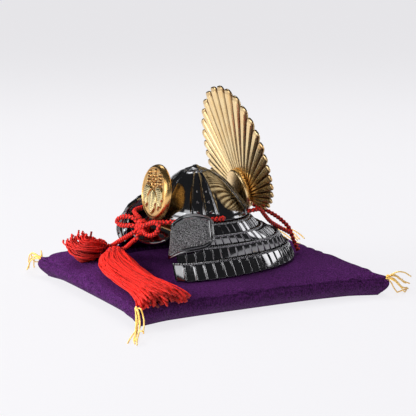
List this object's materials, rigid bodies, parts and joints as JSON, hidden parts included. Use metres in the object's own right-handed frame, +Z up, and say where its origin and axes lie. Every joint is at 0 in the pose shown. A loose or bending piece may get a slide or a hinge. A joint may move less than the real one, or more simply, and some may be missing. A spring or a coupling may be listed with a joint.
{
  "type": "ornamental samurai helmet on a square display cushion",
  "caption": "Small black samurai helmet with gilt pleated fan crest and round front disc, tied with red tasselled cord, on a purple display cushion.",
  "frame": {"origin": "on the flat underside of the cushion, under the crossing of its middle lines", "axes": "+Z up, the helmet's front faces -Y, its wearer's left is +X"},
  "size_m": [0.2259, 0.237, 0.142],
  "materials": {
    "purple_crepe": "matte woven crepe",
    "black_plating": "gloss black plating",
    "gold_plating": "polished gold plating",
    "red_cord": "braided cord and thread",
    "yellow_cord": "twisted thread"
  },
  "bodies": {
    "root": {"cushion": "purple_crepe", "bowl": "black_plating", "crown_rosette": "black_plating", "visor": "black_plating", "neck_tier_1": "black_plating", "neck_tier_2": "black_plating", "neck_tier_3": "black_plating", "neck_tier_4": "black_plating", "turn_back_left": "black_plating", "turn_back_right": "black_plating", "front_disc": "gold_plating", "rear_fan": "gold_plating", "fan_boss": "gold_plating", "bow_knot": "red_cord", "cord_side_left": "red_cord", "cord_side_right": "red_cord", "bow_loop_left": "red_cord", "bow_loop_right": "red_cord", "bow_tail_1": "red_cord", "bow_tail_2": "red_cord", "rear_cord_left": "red_cord", "rear_cord_right": "red_cord", "tassel_1": "red_cord", "tassel_2": "red_cord", "corner_tie_front_left": "yellow_cord", "corner_tie_front_right": "yellow_cord", "corner_tie_rear_left": "yellow_cord", "corner_tie_rear_right": "yellow_cord"}
  },
  "joints": []
}
